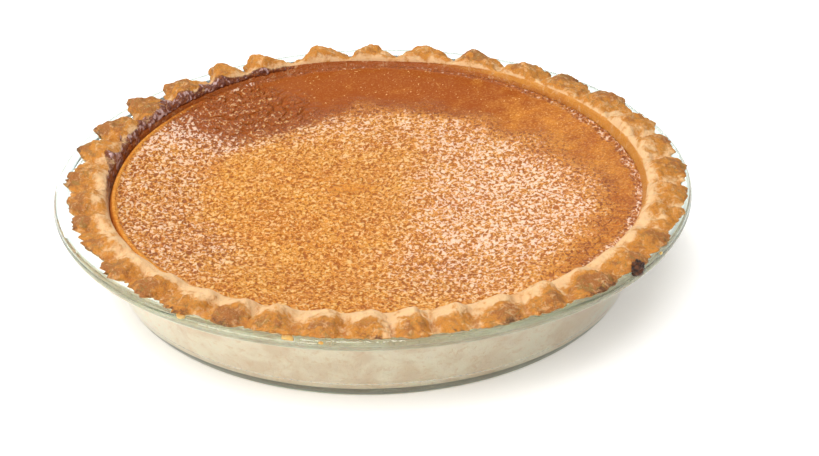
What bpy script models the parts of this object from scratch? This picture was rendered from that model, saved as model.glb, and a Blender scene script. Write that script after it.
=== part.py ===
"""Sweet potato pie, whole, in the clear glass pie dish it was baked in.

Metres, +Z up. The origin is on the table, under the middle of the dish. The front of the pie is at -Y.
Three solids: the glass dish, the pastry case with its crimped edge, and the set filling.
"""
import math
import random

import bpy

MM = 0.001

# Glass dish, in mm
RIM_RADIUS = 125.0
DISH_HEIGHT = 40.0
FOOT_OUTER_RADIUS = 94.5
FOOT_INNER_RADIUS = 86.0
FOOT_RECESS = 0.8
WALL_LEAN = 0.386  # how far the wall leans out for each mm of height
GLASS_OUTER_RADIUS_AT_TABLE = 100.5
GLASS_INNER_RADIUS_AT_TABLE = 95.9
GLASS_FLOOR = 4.5
FLANGE_INNER_RADIUS = 112.2
FLANGE_TOP = 38.8
FLANGE_UNDERSIDE = 35.2
BEAD_WIDEST_HEIGHT = 37.4

# Pastry case, in mm
FIT_GAP = 0.3  # between two solids that touch in the real pie
WALL_GAP = 0.4  # the same, measured level across the leaning wall
PASTRY_FLOOR_THICKNESS = 3.5
PASTRY_WALL_THICKNESS = 4.2
PASTRY_EDGE_THICKNESS = 0.35  # at the very edge of the crimps
PASTRY_WALL_TOP = 37.5  # on the outside, where the pastry turns out over the flange
FLUTE_COUNT = 36
FLUTE_BUNCHING = 11.5  # degrees that the flutes crowd towards the front
FLUTE_BREADTH = 0.62  # under 1, the flutes are broad and the notches between them narrow

PASTRY_OUTER_RADIUS_AT_TABLE = GLASS_INNER_RADIUS_AT_TABLE - WALL_GAP
PASTRY_INNER_RADIUS_AT_TABLE = PASTRY_OUTER_RADIUS_AT_TABLE - PASTRY_WALL_THICKNESS
INNER_CORNER_REACH = 4.0
OUTER_CORNER_REACH = 6.0

# The pastry edge all round: a middle value, what is added at the back and at the right, in mm.
# What is added at the back is taken off at the front, and what is added at the right comes off at the left.
CREST_REACH = (123.0, -3.6, 0.8)
NOTCH_REACH = (119.2, -5.4, 0.8)
CREST_HEIGHT = (44.8, 1.4, 0.0)
NOTCH_HEIGHT = (41.6, 0.0, 0.0)
NOTCH_SIDE_RISE = 0.7  # how much higher the notches are at the left and right than at the front and back
FILLING_LEVEL = (38.1, 1.2, 0.0)

# The curve over the crimped edge: share of the way out from the filling, share of the full height
EDGE_CURVE = ((0.08, 0.45), (0.24, 0.88), (0.44, 1.0), (0.66, 0.9), (0.86, 0.55))

# How the filling's edge strays from a circle: waves in the whole round, size in mm, turn in degrees
EDGE_WANDER = ((1, 1.3, 58.0), (2, 1.4, 151.0), (3, 1.4, 69.0))

# Burnt drop on the outside of a flute at the right front, in mm
BURNT_DROP_ANGLE = -42.0
BURNT_DROP_PLACE = (124.2, 42.9)
BURNT_DROP_SIZE = (2.8, 3.4, 2.4)

# Filling, in mm
FILLING_DIP = 4.2
FILLING_DIP_START = 62.0
FILLING_EDGE_ROUND = 0.8

GLASS_STEPS = 88
PASTRY_STEPS = 6 * FLUTE_COUNT
FILLING_STEPS = PASTRY_STEPS // 2

GLASS_COLOUR = (0.80, 0.90, 0.86)
PASTRY_COLOUR = (0.74, 0.44, 0.16)
FILLING_COLOUR = (0.66, 0.22, 0.03)


def wall_radius(radius_at_table, height):
    """Radius of a wall that leans out with the dish."""
    return radius_at_table + WALL_LEAN * height


def ease(value, start, end):
    """0 before start, 1 after end, and a smooth step between them."""
    part = min(max((value - start) / (end - start), 0.0), 1.0)
    return part * part * (3.0 - 2.0 * part)


def rounded(before, corner, after, reach, steps):
    """Points along a smooth curve that cuts a corner, starting and ending a given reach from it."""
    def towards(end):
        length = math.dist(corner, end)
        return [c + (e - c) * reach / length for c, e in zip(corner, end)]

    start, end = towards(before), towards(after)
    points = []
    for step in range(steps + 1):
        t = step / steps
        points.append(tuple(
            (1 - t) ** 2 * s + 2 * t * (1 - t) * c + t * t * e for s, c, e in zip(start, corner, end)))
    return points


def material(name, colour, roughness, transmission=0.0):
    """Plain Principled material."""
    made = bpy.data.materials.new(name)
    made.use_nodes = True
    shader = made.node_tree.nodes["Principled BSDF"]
    shader.inputs["Base Color"].default_value = (*colour, 1.0)
    shader.inputs["Roughness"].default_value = roughness
    shader.inputs["Metallic"].default_value = 0.0
    shader.inputs["Transmission Weight"].default_value = transmission
    made.diffuse_color = (*colour, 1.0)
    return made


def turned(name, profile, steps, collection, finish):
    """Object turned about Z from a profile of (radius, height) points in mm."""
    mesh = bpy.data.meshes.new(name)
    points = [(radius * MM, 0.0, height * MM) for radius, height in profile]
    mesh.from_pydata(points, [(i, i + 1) for i in range(len(points) - 1)], [])
    made = bpy.data.objects.new(name, mesh)
    collection.objects.link(made)
    mesh.materials.append(finish)
    screw = made.modifiers.new("turn", "SCREW")
    screw.steps = screw.render_steps = steps
    screw.use_merge_vertices = True
    screw.merge_threshold = 0.00001
    screw.use_smooth_shade = True
    return made


def apply_modifiers(made):
    """Replace an object's mesh with the shape its modifiers give."""
    bpy.context.view_layer.update()
    seen = made.evaluated_get(bpy.context.evaluated_depsgraph_get())
    shaped = bpy.data.meshes.new_from_object(seen)
    spare = made.data
    made.modifiers.clear()
    made.data = shaped
    shaped.name = made.name
    bpy.data.meshes.remove(spare)


def make_glass_dish(collection):
    """Clear pressed-glass pie dish: foot ring, leaning wall, and a flange with a raised bead at its edge."""
    floor_corner = (wall_radius(GLASS_INNER_RADIUS_AT_TABLE, GLASS_FLOOR), GLASS_FLOOR)
    inner_top = (wall_radius(GLASS_INNER_RADIUS_AT_TABLE, FLANGE_TOP), FLANGE_TOP)
    outer_top = (wall_radius(GLASS_OUTER_RADIUS_AT_TABLE, FLANGE_UNDERSIDE), FLANGE_UNDERSIDE)
    outer_foot = (wall_radius(GLASS_OUTER_RADIUS_AT_TABLE, 0.0), 0.0)
    profile = [(0.0, GLASS_FLOOR)]
    profile += rounded((0.0, GLASS_FLOOR), floor_corner, inner_top, OUTER_CORNER_REACH, 3)
    profile += rounded(floor_corner, inner_top, (RIM_RADIUS, FLANGE_TOP), 1.5, 1)
    profile += [
        (RIM_RADIUS - 5.0, FLANGE_TOP + 0.6),
        (RIM_RADIUS - 2.2, DISH_HEIGHT),
        (RIM_RADIUS, BEAD_WIDEST_HEIGHT),
        (RIM_RADIUS - 2.5, FLANGE_UNDERSIDE - 0.3),
        (RIM_RADIUS - 6.0, FLANGE_UNDERSIDE),
    ]
    profile += rounded((RIM_RADIUS, FLANGE_UNDERSIDE), outer_top, outer_foot, 1.6, 1)
    profile += rounded(outer_top, outer_foot, (FOOT_OUTER_RADIUS, 0.0), 5.9, 4)
    profile += [(FOOT_INNER_RADIUS, 0.0), (FOOT_INNER_RADIUS - 2.0, FOOT_RECESS), (0.0, FOOT_RECESS)]
    return turned("glass_dish", profile, GLASS_STEPS, collection, material("glass", GLASS_COLOUR, 0.05, 1.0))


def around(values, angle):
    """Value at an angle of something that differs from front to back and from left to right."""
    middle, back, right = values
    return middle + back * math.sin(angle) + right * math.cos(angle)


def edge_wander(angle):
    """How far the top of the pastry's inner wall stands off its true circle."""
    return sum(size * math.cos(waves * angle + math.radians(turn)) for waves, size, turn in EDGE_WANDER)


def flutes():
    """For each flute: what it adds to its turn in degrees, and to its height and reach in mm."""
    draw = random.Random(18)
    return [(draw.uniform(-1.2, 1.2), draw.uniform(-0.5, 0.5), draw.uniform(-1.2, 1.4))
            for _ in range(FLUTE_COUNT)]


def between_flutes(values, turn):
    """A flute's values at a turn about Z, blended from one flute to the next."""
    place = turn / (2 * math.pi) * FLUTE_COUNT
    first = math.floor(place)
    share = ease(place - first, 0.0, 1.0)
    return tuple(a + (b - a) * share
                 for a, b in zip(values[first % FLUTE_COUNT], values[(first + 1) % FLUTE_COUNT]))


def above_flange(radius):
    """Height of the pastry's underside where it lies on the flange."""
    return FLANGE_TOP + FIT_GAP + 0.1 + 1.15 * ease(radius, 110.0, 124.5)


def crimped_edge(angle, wave, extra_height, extra_reach, raggedness):
    """Points over the crimped edge, from the filling's edge out and back under, in mm.

    wave is 1 on a flute's crest and 0 in the notch beside it.
    """
    level = around(FILLING_LEVEL, angle)
    inner = wall_radius(PASTRY_INNER_RADIUS_AT_TABLE, level) + edge_wander(angle)
    notch = around(NOTCH_HEIGHT, angle) + NOTCH_SIDE_RISE * math.cos(2 * angle)
    top = notch + (around(CREST_HEIGHT, angle) + extra_height - notch) * wave
    notch_reach = around(NOTCH_REACH, angle)
    outer = notch_reach + (around(CREST_REACH, angle) + extra_reach - notch_reach) * wave + raggedness
    widest = (RIM_RADIUS - 0.2) / max(abs(math.cos(angle)), abs(math.sin(angle)))
    outer = min(outer, widest)
    points = []
    for share, lift in EDGE_CURVE:
        radius = inner + (outer - inner) * share
        floor = max(above_flange(radius) + PASTRY_EDGE_THICKNESS, level)
        points.append((radius, floor + (top - floor) * lift))
    points.append((outer, above_flange(outer) + PASTRY_EDGE_THICKNESS))
    for share in (0.94, 0.5, 0.0):
        radius = FLANGE_INNER_RADIUS + (outer - FLANGE_INNER_RADIUS) * share
        points.append((radius, above_flange(radius)))
    return points


def pastry_section(angle=0.0, wave=0.5, extra_height=0.0, extra_reach=0.0, raggedness=0.0):
    """Points of the pastry's section in mm: from the middle of its floor, over its edge, back underneath."""
    under_floor = GLASS_FLOOR + FIT_GAP
    top_of_floor = under_floor + PASTRY_FLOOR_THICKNESS
    level = around(FILLING_LEVEL, angle) - FILLING_EDGE_ROUND / 2
    inner_corner = (wall_radius(PASTRY_INNER_RADIUS_AT_TABLE, top_of_floor), top_of_floor)
    inner_top = (wall_radius(PASTRY_INNER_RADIUS_AT_TABLE, level), level)
    outer_corner = (wall_radius(PASTRY_OUTER_RADIUS_AT_TABLE, under_floor), under_floor)
    outer_top = (wall_radius(PASTRY_OUTER_RADIUS_AT_TABLE, PASTRY_WALL_TOP), PASTRY_WALL_TOP)
    points = [(0.0, top_of_floor)]
    points += rounded((0.0, top_of_floor), inner_corner, inner_top, INNER_CORNER_REACH, 2)
    points.append((inner_top[0] + edge_wander(angle), level))
    points += crimped_edge(angle, wave, extra_height, extra_reach, raggedness)
    points.append(outer_top)
    points += rounded(outer_top, outer_corner, (0.0, under_floor), OUTER_CORNER_REACH, 2)
    points.append((0.0, under_floor))
    return points


def crimp_pastry(mesh):
    """Bunch, lift and push out the turned pastry into flutes, with a ragged outer edge."""
    values = flutes()
    draw = random.Random(5)
    rough = [draw.uniform(-0.5, 0.5) for _ in range(PASTRY_STEPS)]
    plain = pastry_section()
    for vertex in mesh.vertices:
        x, y, z = (value / MM for value in vertex.co)
        turn = math.atan2(y, x) % (2 * math.pi)
        row = min(range(len(plain)), key=lambda number: math.dist(plain[number], (math.hypot(x, y), z)))
        extra_turn, extra_height, extra_reach = between_flutes(values, turn)
        angle = turn - math.radians(FLUTE_BUNCHING) * math.cos(turn) + math.radians(extra_turn)
        wave = (0.5 + 0.5 * math.cos(turn * FLUTE_COUNT)) ** FLUTE_BREADTH
        step = round(turn / (2 * math.pi) * PASTRY_STEPS) % PASTRY_STEPS
        raggedness = rough[step] * (1.0 + ease(-math.cos(angle), 0.3, 0.9))
        radius, height = pastry_section(angle, wave, extra_height, extra_reach, raggedness)[row]
        vertex.co = (radius * math.cos(angle) * MM, radius * math.sin(angle) * MM, height * MM)


def make_burnt_drop(collection, finish):
    """Small burnt drop of filling that boiled over onto a flute."""
    radius, height = BURNT_DROP_PLACE
    angle = math.radians(BURNT_DROP_ANGLE)
    bpy.ops.mesh.primitive_uv_sphere_add(
        segments=12, ring_count=7, radius=MM,
        location=(radius * math.cos(angle) * MM, radius * math.sin(angle) * MM, height * MM),
        rotation=(0.0, 0.0, angle), scale=BURNT_DROP_SIZE)
    drop = bpy.context.object
    drop.name = "burnt_drop"
    drop.data.materials.append(finish)
    for owner in list(drop.users_collection):
        owner.objects.unlink(drop)
    collection.objects.link(drop)
    return drop


def make_crust(collection):
    """Pastry case in one piece: floor, wall, and the crimped edge that lies on the flange."""
    finish = material("pastry", PASTRY_COLOUR, 0.7)
    crust = turned("crust", pastry_section(), PASTRY_STEPS, collection, finish)
    apply_modifiers(crust)
    crimp_pastry(crust.data)
    drop = make_burnt_drop(collection, finish)
    union = crust.modifiers.new("burnt drop", "BOOLEAN")
    union.operation = "UNION"
    union.solver = "EXACT"
    union.object = drop
    apply_modifiers(crust)
    bpy.data.objects.remove(drop, do_unlink=True)
    return crust


def filling_profile():
    """Half section of the filling: a shallow dip that rises to its edge, then down the pastry wall."""
    foot = PASTRY_INNER_RADIUS_AT_TABLE - WALL_GAP
    floor = GLASS_FLOOR + PASTRY_FLOOR_THICKNESS + 2 * FIT_GAP
    level = FILLING_LEVEL[0]
    rim = wall_radius(foot, level) - 2 * FILLING_EDGE_ROUND
    edge = (wall_radius(foot, level - FILLING_EDGE_ROUND), level - FILLING_EDGE_ROUND)
    corner = (wall_radius(foot, floor), floor)
    profile = [(radius, level - FILLING_DIP * (1.0 - ease(radius, FILLING_DIP_START, rim)))
               for radius in (0.0, 40.0, FILLING_DIP_START, 76.0, 86.0, 94.0, 100.0, rim)]
    profile.append(edge)
    profile += rounded(edge, corner, (0.0, floor), INNER_CORNER_REACH + WALL_GAP, 2)
    profile.append((0.0, floor))
    return profile


def make_filling(collection):
    """Set filling, which keeps to the pastry wall and lies a little higher at the back."""
    filling = turned("filling", filling_profile(), FILLING_STEPS, collection,
                     material("custard", FILLING_COLOUR, 0.3))
    apply_modifiers(filling)
    rim = wall_radius(PASTRY_INNER_RADIUS_AT_TABLE, FILLING_LEVEL[0])
    for vertex in filling.data.vertices:
        x, y, z = (value / MM for value in vertex.co)
        radius = math.hypot(x, y)
        turn = math.atan2(y, x)
        angle = turn - math.radians(FLUTE_BUNCHING) * math.cos(turn)
        if z > FILLING_LEVEL[0] / 2:
            tilt = (around(FILLING_LEVEL, angle) - FILLING_LEVEL[0]) * radius / rim
            radius += (WALL_LEAN * tilt + edge_wander(angle)) * ease(radius, FILLING_DIP_START, rim)
            z += tilt
        vertex.co = (radius * math.cos(angle) * MM, radius * math.sin(angle) * MM, z * MM)
    return filling


def main():
    """Clear the scene and build the pie in a collection of its own."""
    for old in list(bpy.data.objects):
        bpy.data.objects.remove(old, do_unlink=True)
    collection = bpy.data.collections.new("sweet_potato_pie")
    bpy.context.scene.collection.children.link(collection)
    make_glass_dish(collection)
    make_crust(collection)
    make_filling(collection)


main()
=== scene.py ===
"""Looks of a whole sweet potato pie in the clear glass dish it was baked in.

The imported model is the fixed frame. Three detailed pieces stand for its solids: the glass dish, the
pastry case and the filling. Small pieces are added to the crimped edge: a burnt drop and butter drips.
Sizes of the pie are in mm and turns in degrees in the dataclasses, and become metres in the meshes.
Angles run from the right of the pie, through its back at 90 degrees, to its left at 180.
"""
from __future__ import annotations

import logging
import math
import random
from dataclasses import dataclass
from enum import Enum
from functools import partial
from typing import Any, Callable, Iterable, Sequence

import bpy
import numpy as np
from mathutils import Matrix, Vector, noise


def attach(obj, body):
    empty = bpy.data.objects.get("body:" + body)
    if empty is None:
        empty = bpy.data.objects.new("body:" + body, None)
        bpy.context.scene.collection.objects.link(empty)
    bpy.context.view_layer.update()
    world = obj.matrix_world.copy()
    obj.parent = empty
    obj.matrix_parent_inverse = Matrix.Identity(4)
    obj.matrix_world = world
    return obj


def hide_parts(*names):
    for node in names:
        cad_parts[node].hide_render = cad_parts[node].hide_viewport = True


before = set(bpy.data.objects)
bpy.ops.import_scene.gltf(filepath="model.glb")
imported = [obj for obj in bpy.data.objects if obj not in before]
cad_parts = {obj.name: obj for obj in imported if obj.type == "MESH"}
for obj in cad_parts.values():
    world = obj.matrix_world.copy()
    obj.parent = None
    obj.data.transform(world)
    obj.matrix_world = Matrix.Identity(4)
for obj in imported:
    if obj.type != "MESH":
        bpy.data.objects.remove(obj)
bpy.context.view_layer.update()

MM = 0.001
EDGE_RADIUS = 120.0
BODY = "root"
log = logging.getLogger("pie")

Colour = tuple[float, float, float]
Triple = tuple[float, float, float]
Point = tuple[float, float]


class Slot(Enum):
    """The record's material slots."""

    GLASS = "glass"
    PASTRY = "pastry"
    FILLING = "custard"


def ease(value: Any, start: float, end: float) -> Any:
    """Smooth step from 0 to 1.

    Args:
        value: A number or an array.
        start: Where the step begins, which may be above end for a falling step.
        end: Where the step is complete.

    Returns:
        The step, of the same kind as value.
    """
    part = np.clip((value - start) / (end - start), 0.0, 1.0)
    return part * part * (3.0 - 2.0 * part)


def rounded(before: Point, corner: Point, after: Point, reach: float, steps: int) -> list[Point]:
    """Curve that cuts a corner of a profile.

    Args:
        before: The point before the corner, as radius and height.
        corner: The corner itself.
        after: The point after it.
        reach: How far from the corner the curve starts and ends.
        steps: Number of straight steps in the curve.

    Returns:
        The points of the curve, from the side of before to the side of after.
    """
    ends = []
    for end in (before, after):
        length = math.dist(corner, end)
        ends.append([c + (e - c) * reach / length for c, e in zip(corner, end)])
    points = []
    for step in range(steps + 1):
        t = step / steps
        points.append(tuple((1 - t) ** 2 * s + 2 * t * (1 - t) * c + t * t * e
                            for s, c, e in zip(ends[0], corner, ends[1])))
    return points


def smooth_curve(points: Sequence[Point], steps: int) -> np.ndarray:
    """Catmull-Rom curve through points.

    Args:
        points: The points it passes, in order.
        steps: Number of steps between two points.

    Returns:
        An array of the curve's points.
    """
    known = np.array(points, float)
    padded = np.vstack([2 * known[0] - known[1], known, 2 * known[-1] - known[-2]])
    found = []
    for a, b, c, d in zip(padded, padded[1:], padded[2:], padded[3:]):
        for t in np.arange(steps) / steps:
            found.append(0.5 * (2 * b + (c - a) * t + (2 * a - 5 * b + 4 * c - d) * t ** 2
                                + (3 * b - a - 3 * c + d) * t ** 3))
    return np.array([*found, known[-1]])


def on_circle(angle: np.ndarray) -> np.ndarray:
    """Points in mm on a circle as wide as the pie's edge, for noise that runs round it."""
    return np.stack([np.cos(angle), np.sin(angle), np.zeros_like(angle)], axis=1) * EDGE_RADIUS


@dataclass(frozen=True)
class Arc:
    """Stretch of the edge: its middle, and how far from there an effect is none and full, in degrees."""

    middle: float
    none_at: float
    full_at: float

    def at(self, angle: Any) -> Any:
        """Share of the effect at an angle in radians."""
        away = np.abs((np.degrees(angle) - self.middle + 180.0) % 360.0 - 180.0)
        return ease(away, self.none_at, self.full_at)


@dataclass(frozen=True)
class Area:
    """Area of the filling: its middle, and how far from there an effect is none and full, in mm."""

    x: float
    y: float
    none_at: float
    full_at: float
    flatness: float = 1.0

    def at(self, x: np.ndarray, y: np.ndarray, stray: Any = 0.0) -> np.ndarray:
        """Share of the effect at some points, with stray added to their distances."""
        return ease(np.hypot(x - self.x, (y - self.y) * self.flatness) + stray, self.none_at, self.full_at)


@dataclass(frozen=True)
class Ripple:
    """Smooth noise: size of a lump in mm, its height, and a shift that makes it differ from others."""

    size: float
    height: float = 1.0
    shift: float = 0.0

    def at(self, places: np.ndarray) -> np.ndarray:
        """Its value at points in mm, one number for each."""
        spots = (places / self.size + self.shift).tolist()
        return np.array([noise.noise(spot) for spot in spots]) * self.height


def pick_nothing() -> None:
    """Leave every object deselected."""
    bpy.ops.object.select_all(action="DESELECT")


def pick(made: bpy.types.Object) -> None:
    """Select one object alone and make it the active one."""
    pick_nothing()
    bpy.context.view_layer.objects.active = made
    made.select_set(True)


def in_edit_mode(made: bpy.types.Object, work: Callable[[], None]) -> None:
    """Run mesh operators on all of an object.

    Args:
        made: The object to edit.
        work: Function that calls the operators, with everything selected when it starts.
    """
    pick(made)
    bpy.ops.object.mode_set(mode="EDIT")
    bpy.ops.mesh.select_all(action="SELECT")
    work()
    bpy.ops.object.mode_set(mode="OBJECT")


def close_and_turn_out() -> None:
    """Merge doubled vertices and point all faces outwards, in edit mode."""
    bpy.ops.mesh.remove_doubles(threshold=1e-6)
    bpy.ops.mesh.select_all(action="SELECT")
    bpy.ops.mesh.normals_make_consistent(inside=False)


def apply_modifiers(made: bpy.types.Object) -> None:
    """Apply every modifier of an object in order."""
    pick(made)
    for modifier in list(made.modifiers):
        bpy.ops.object.modifier_apply(modifier=modifier.name)


def displace(made: bpy.types.Object, name: str, size: float, depth: float,
             layers: int = 2) -> bpy.types.Modifier:
    """Add a Displace modifier with a cloud texture.

    Args:
        made: The object.
        name: Name of the modifier and its texture.
        size: Size of a lump in mm.
        depth: Strength in mm.
        layers: Layers of finer lumps.

    Returns:
        The modifier.
    """
    texture = bpy.data.textures.new(name, "CLOUDS")
    texture.noise_scale = size * MM
    texture.noise_depth = layers
    added = made.modifiers.new(name, "DISPLACE")
    added.texture = texture
    added.texture_coords = "LOCAL"
    added.strength = depth * MM
    return added


def settle(made: bpy.types.Object, name: str) -> None:
    """Name a piece, move its place into its mesh and shade it smooth."""
    made.name = made.data.name = name
    pick(made)
    bpy.ops.object.transform_apply(location=True, rotation=True, scale=True)
    bpy.ops.object.shade_smooth()


def dress(made: bpy.types.Object, finish: bpy.types.Material, slot: Slot, *stands_for: str) -> None:
    """Give a piece its finish and its body, and log the slot that its finish belongs to.

    Args:
        made: The piece.
        finish: Its material.
        slot: The record's slot that the finish belongs to.
        stands_for: The CAD nodes that the piece replaces.
    """
    made.data.materials.clear()
    made.data.materials.append(finish)
    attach(made, BODY)
    if stands_for:
        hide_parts(*stands_for)
    log.info("%s: %d faces, slot %s", made.name, len(made.data.polygons), slot.value)


def lathe(name: str, profile: Sequence[Point], segments: int) -> bpy.types.Object:
    """Turned piece, extruded ring by ring from a circle.

    Args:
        name: The piece's name.
        profile: Its section as radius and height in mm, with both ends away from the axis.
        segments: Number of vertices in a ring.

    Returns:
        The closed, smooth object.
    """
    pick_nothing()
    radius, height = profile[0]
    bpy.ops.mesh.primitive_circle_add(vertices=segments, radius=radius * MM, location=(0, 0, 0))
    made = bpy.context.object

    def rings() -> None:
        """Extrude the circle through the rest of the profile and fill both ends."""
        bpy.ops.transform.translate(value=(0, 0, height * MM))
        bpy.ops.mesh.edge_face_add()
        bpy.ops.mesh.select_all(action="SELECT")
        bpy.ops.mesh.select_mode(type="EDGE")
        bpy.ops.mesh.region_to_loop()
        at_radius, at_height = radius, height
        for new_radius, new_height in profile[1:]:
            bpy.ops.mesh.extrude_edges_move()
            scale = new_radius / at_radius
            bpy.ops.transform.resize(value=(scale, scale, 1), center_override=(0, 0, 0))
            bpy.ops.transform.translate(value=(0, 0, (new_height - at_height) * MM))
            at_radius, at_height = new_radius, new_height
        bpy.ops.mesh.edge_face_add()
        bpy.ops.mesh.select_mode(type="VERT")
        bpy.ops.mesh.select_all(action="SELECT")
        close_and_turn_out()

    in_edit_mode(made, rings)
    settle(made, name)
    return made


def grid(columns: int, rows: int) -> bpy.types.Object:
    """Flat grid that is then wrapped into a piece, with coordinates from 0 to 1 in X and Y."""
    pick_nothing()
    bpy.ops.mesh.primitive_grid_add(
        x_subdivisions=columns, y_subdivisions=rows, size=1, location=(0.5, 0.5, 0))
    made = bpy.context.object
    bpy.ops.object.transform_apply(location=True, rotation=True, scale=True)
    return made


def points_of(made: bpy.types.Object) -> np.ndarray:
    """Coordinates of a mesh's vertices as an array of rows."""
    found = np.empty(len(made.data.vertices) * 3)
    made.data.vertices.foreach_get("co", found)
    return found.reshape(-1, 3)


def put_points(made: bpy.types.Object, places: np.ndarray) -> None:
    """Move a mesh's vertices to an array of places."""
    made.data.vertices.foreach_set("co", places.astype(np.float32).ravel())
    made.data.update()


def put_attribute(made: bpy.types.Object, name: str, values: np.ndarray) -> None:
    """Store one number for each vertex under a name that a material reads."""
    made.data.attributes.new(name, "FLOAT", "POINT").data.foreach_set("value", values.astype(np.float32))


class Term:
    """A socket that takes part in arithmetic: each operator adds its Math node."""

    def __init__(self, tree: bpy.types.NodeTree, socket: bpy.types.NodeSocket) -> None:
        """Wrap an output socket of a node tree."""
        self.tree = tree
        self.socket = socket

    def maths(self, operation: str, *values: Any) -> Term:
        """Math node on some values.

        Args:
            operation: The Math node's operation.
            values: Its inputs in order, numbers or terms.

        Returns:
            The node's result.
        """
        made = self.tree.nodes.new("ShaderNodeMath")
        made.operation = operation
        for socket, value in zip(made.inputs, values):
            if isinstance(value, Term):
                self.tree.links.new(value.socket, socket)
            else:
                socket.default_value = value
        return Term(self.tree, made.outputs[0])

    def __add__(self, other: Any) -> Term:
        """Sum."""
        return self.maths("ADD", self, other)

    def __radd__(self, other: Any) -> Term:
        """Sum, with the number first."""
        return self.maths("ADD", other, self)

    def __sub__(self, other: Any) -> Term:
        """Difference."""
        return self.maths("SUBTRACT", self, other)

    def __rsub__(self, other: Any) -> Term:
        """Difference, with the number first."""
        return self.maths("SUBTRACT", other, self)

    def __mul__(self, other: Any) -> Term:
        """Product."""
        return self.maths("MULTIPLY", self, other)

    def __rmul__(self, other: Any) -> Term:
        """Product, with the number first."""
        return self.maths("MULTIPLY", other, self)

    def step(self, start: float, end: float) -> Term:
        """Smooth step from 0 at start to 1 at end."""
        made = self.tree.nodes.new("ShaderNodeMapRange")
        made.interpolation_type = "SMOOTHSTEP"
        self.tree.links.new(self.socket, made.inputs["Value"])
        made.inputs["From Min"].default_value = start
        made.inputs["From Max"].default_value = end
        return Term(self.tree, made.outputs["Result"])


class Shading:
    """A material while its nodes are put together."""

    def __init__(self, name: str) -> None:
        """Start an empty node material."""
        self.material = bpy.data.materials.new(name)
        self.material.use_nodes = True
        self.tree = self.material.node_tree
        self.tree.nodes.clear()

    def add(self, kind: str, settings: dict[str, Any] | None = None,
            sockets: dict[str | int, Any] | None = None) -> bpy.types.Node:
        """Any node.

        Args:
            kind: The node's type.
            settings: Its own properties, which are set first.
            sockets: Values or links of its inputs, by name or number.

        Returns:
            The node.
        """
        made = self.tree.nodes.new(kind)
        for name, value in (settings or {}).items():
            setattr(made, name, value)
        for name, value in (sockets or {}).items():
            if isinstance(value, Term):
                self.tree.links.new(value.socket, made.inputs[name])
            elif isinstance(value, bpy.types.NodeSocket):
                self.tree.links.new(value, made.inputs[name])
            else:
                made.inputs[name].default_value = value
        return made

    def place(self) -> bpy.types.NodeSocket:
        """The point on the piece, in metres."""
        return self.add("ShaderNodeTexCoord").outputs["Object"]

    def attribute(self, name: str) -> Term:
        """A number stored on the mesh."""
        made = self.add("ShaderNodeAttribute", {"attribute_name": name})
        return Term(self.tree, made.outputs["Fac"])

    def noise(self, size: float, detail: float = 2.0, distortion: float = 0.0,
              squeeze: Triple = (1.0, 1.0, 1.0), turn: float = 0.0, roughness: float = 0.5) -> Term:
        """Noise texture from 0 to 1.

        Args:
            size: Size of a spot in mm.
            detail: Number of finer layers.
            distortion: How much the spots swirl.
            squeeze: Scale along each axis, over 1 for spots that are narrower that way.
            turn: Turn about Z in degrees before squeezing.
            roughness: Strength of the finer layers.

        Returns:
            The noise.
        """
        spot = self.add("ShaderNodeMapping", None, {
            "Vector": self.place(), "Scale": squeeze, "Rotation": (0.0, 0.0, math.radians(turn))})
        made = self.add("ShaderNodeTexNoise", None, {
            "Vector": spot.outputs[0], "Scale": 1.0 / (size * MM), "Detail": detail,
            "Distortion": distortion, "Roughness": roughness})
        return Term(self.tree, made.outputs["Fac"])

    def mix(self, share: Any, first: Any, second: Any) -> Term:
        """Blend of two colours.

        Args:
            share: How much of the second colour, a number or a term.
            first: A colour or a term.
            second: A colour or a term.

        Returns:
            The blended colour.
        """
        colours = [value if isinstance(value, Term) else (*value, 1.0) for value in (first, second)]
        made = self.add("ShaderNodeMix", {"data_type": "RGBA"}, {0: share, 6: colours[0], 7: colours[1]})
        return Term(self.tree, made.outputs[2])

    def coats(self, base: Any, *coats: tuple[Any, Any]) -> Term:
        """Colour under coats of other colours, each given after its share, from the lowest up."""
        for share, colour in coats:
            base = self.mix(share, base, colour)
        return base

    def bump(self, height: Term, depth: float) -> bpy.types.NodeSocket:
        """Bump node.

        Args:
            height: Relief from 0 to 1.
            depth: Depth of the relief in mm.

        Returns:
            The normal.
        """
        return self.add("ShaderNodeBump", None, {"Height": height, "Distance": depth * MM}).outputs[0]

    def finish(self, surface: bpy.types.NodeSocket,
               volume: bpy.types.NodeSocket | None = None) -> bpy.types.Material:
        """Connect the output.

        Args:
            surface: The surface shader.
            volume: The volume shader, if there is one.

        Returns:
            The finished material.
        """
        links = {"Surface": surface}
        if volume is not None:
            links["Volume"] = volume
        self.add("ShaderNodeOutputMaterial", None, links)
        return self.material


@dataclass(frozen=True)
class Breakup:
    """How patches and spots break up a stored number before it is stepped from 0 to 1."""

    start: float
    end: float
    patchy: float = 0.0
    spotty: float = 0.0
    weight: float = 1.0

    def of(self, stored: Term, patches: Term, spots: Term | None = None) -> Term:
        """The broken-up step of a stored number."""
        total = stored * self.weight
        for blots, amount in ((patches, self.patchy), (spots, self.spotty)):
            if amount:
                total = total + (blots - 0.5) * amount
        return total.step(self.start, self.end)


@dataclass(frozen=True)
class Scatter:
    """Light that spreads under a surface: its share, how far it reaches in m, and its colour."""

    share: float
    reach: float
    colour: Colour

    def inputs(self) -> dict[str, Any]:
        """Settings of a surface shader."""
        return {"Subsurface Weight": self.share, "Subsurface Scale": self.reach,
                "Subsurface Radius": self.colour}


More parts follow.
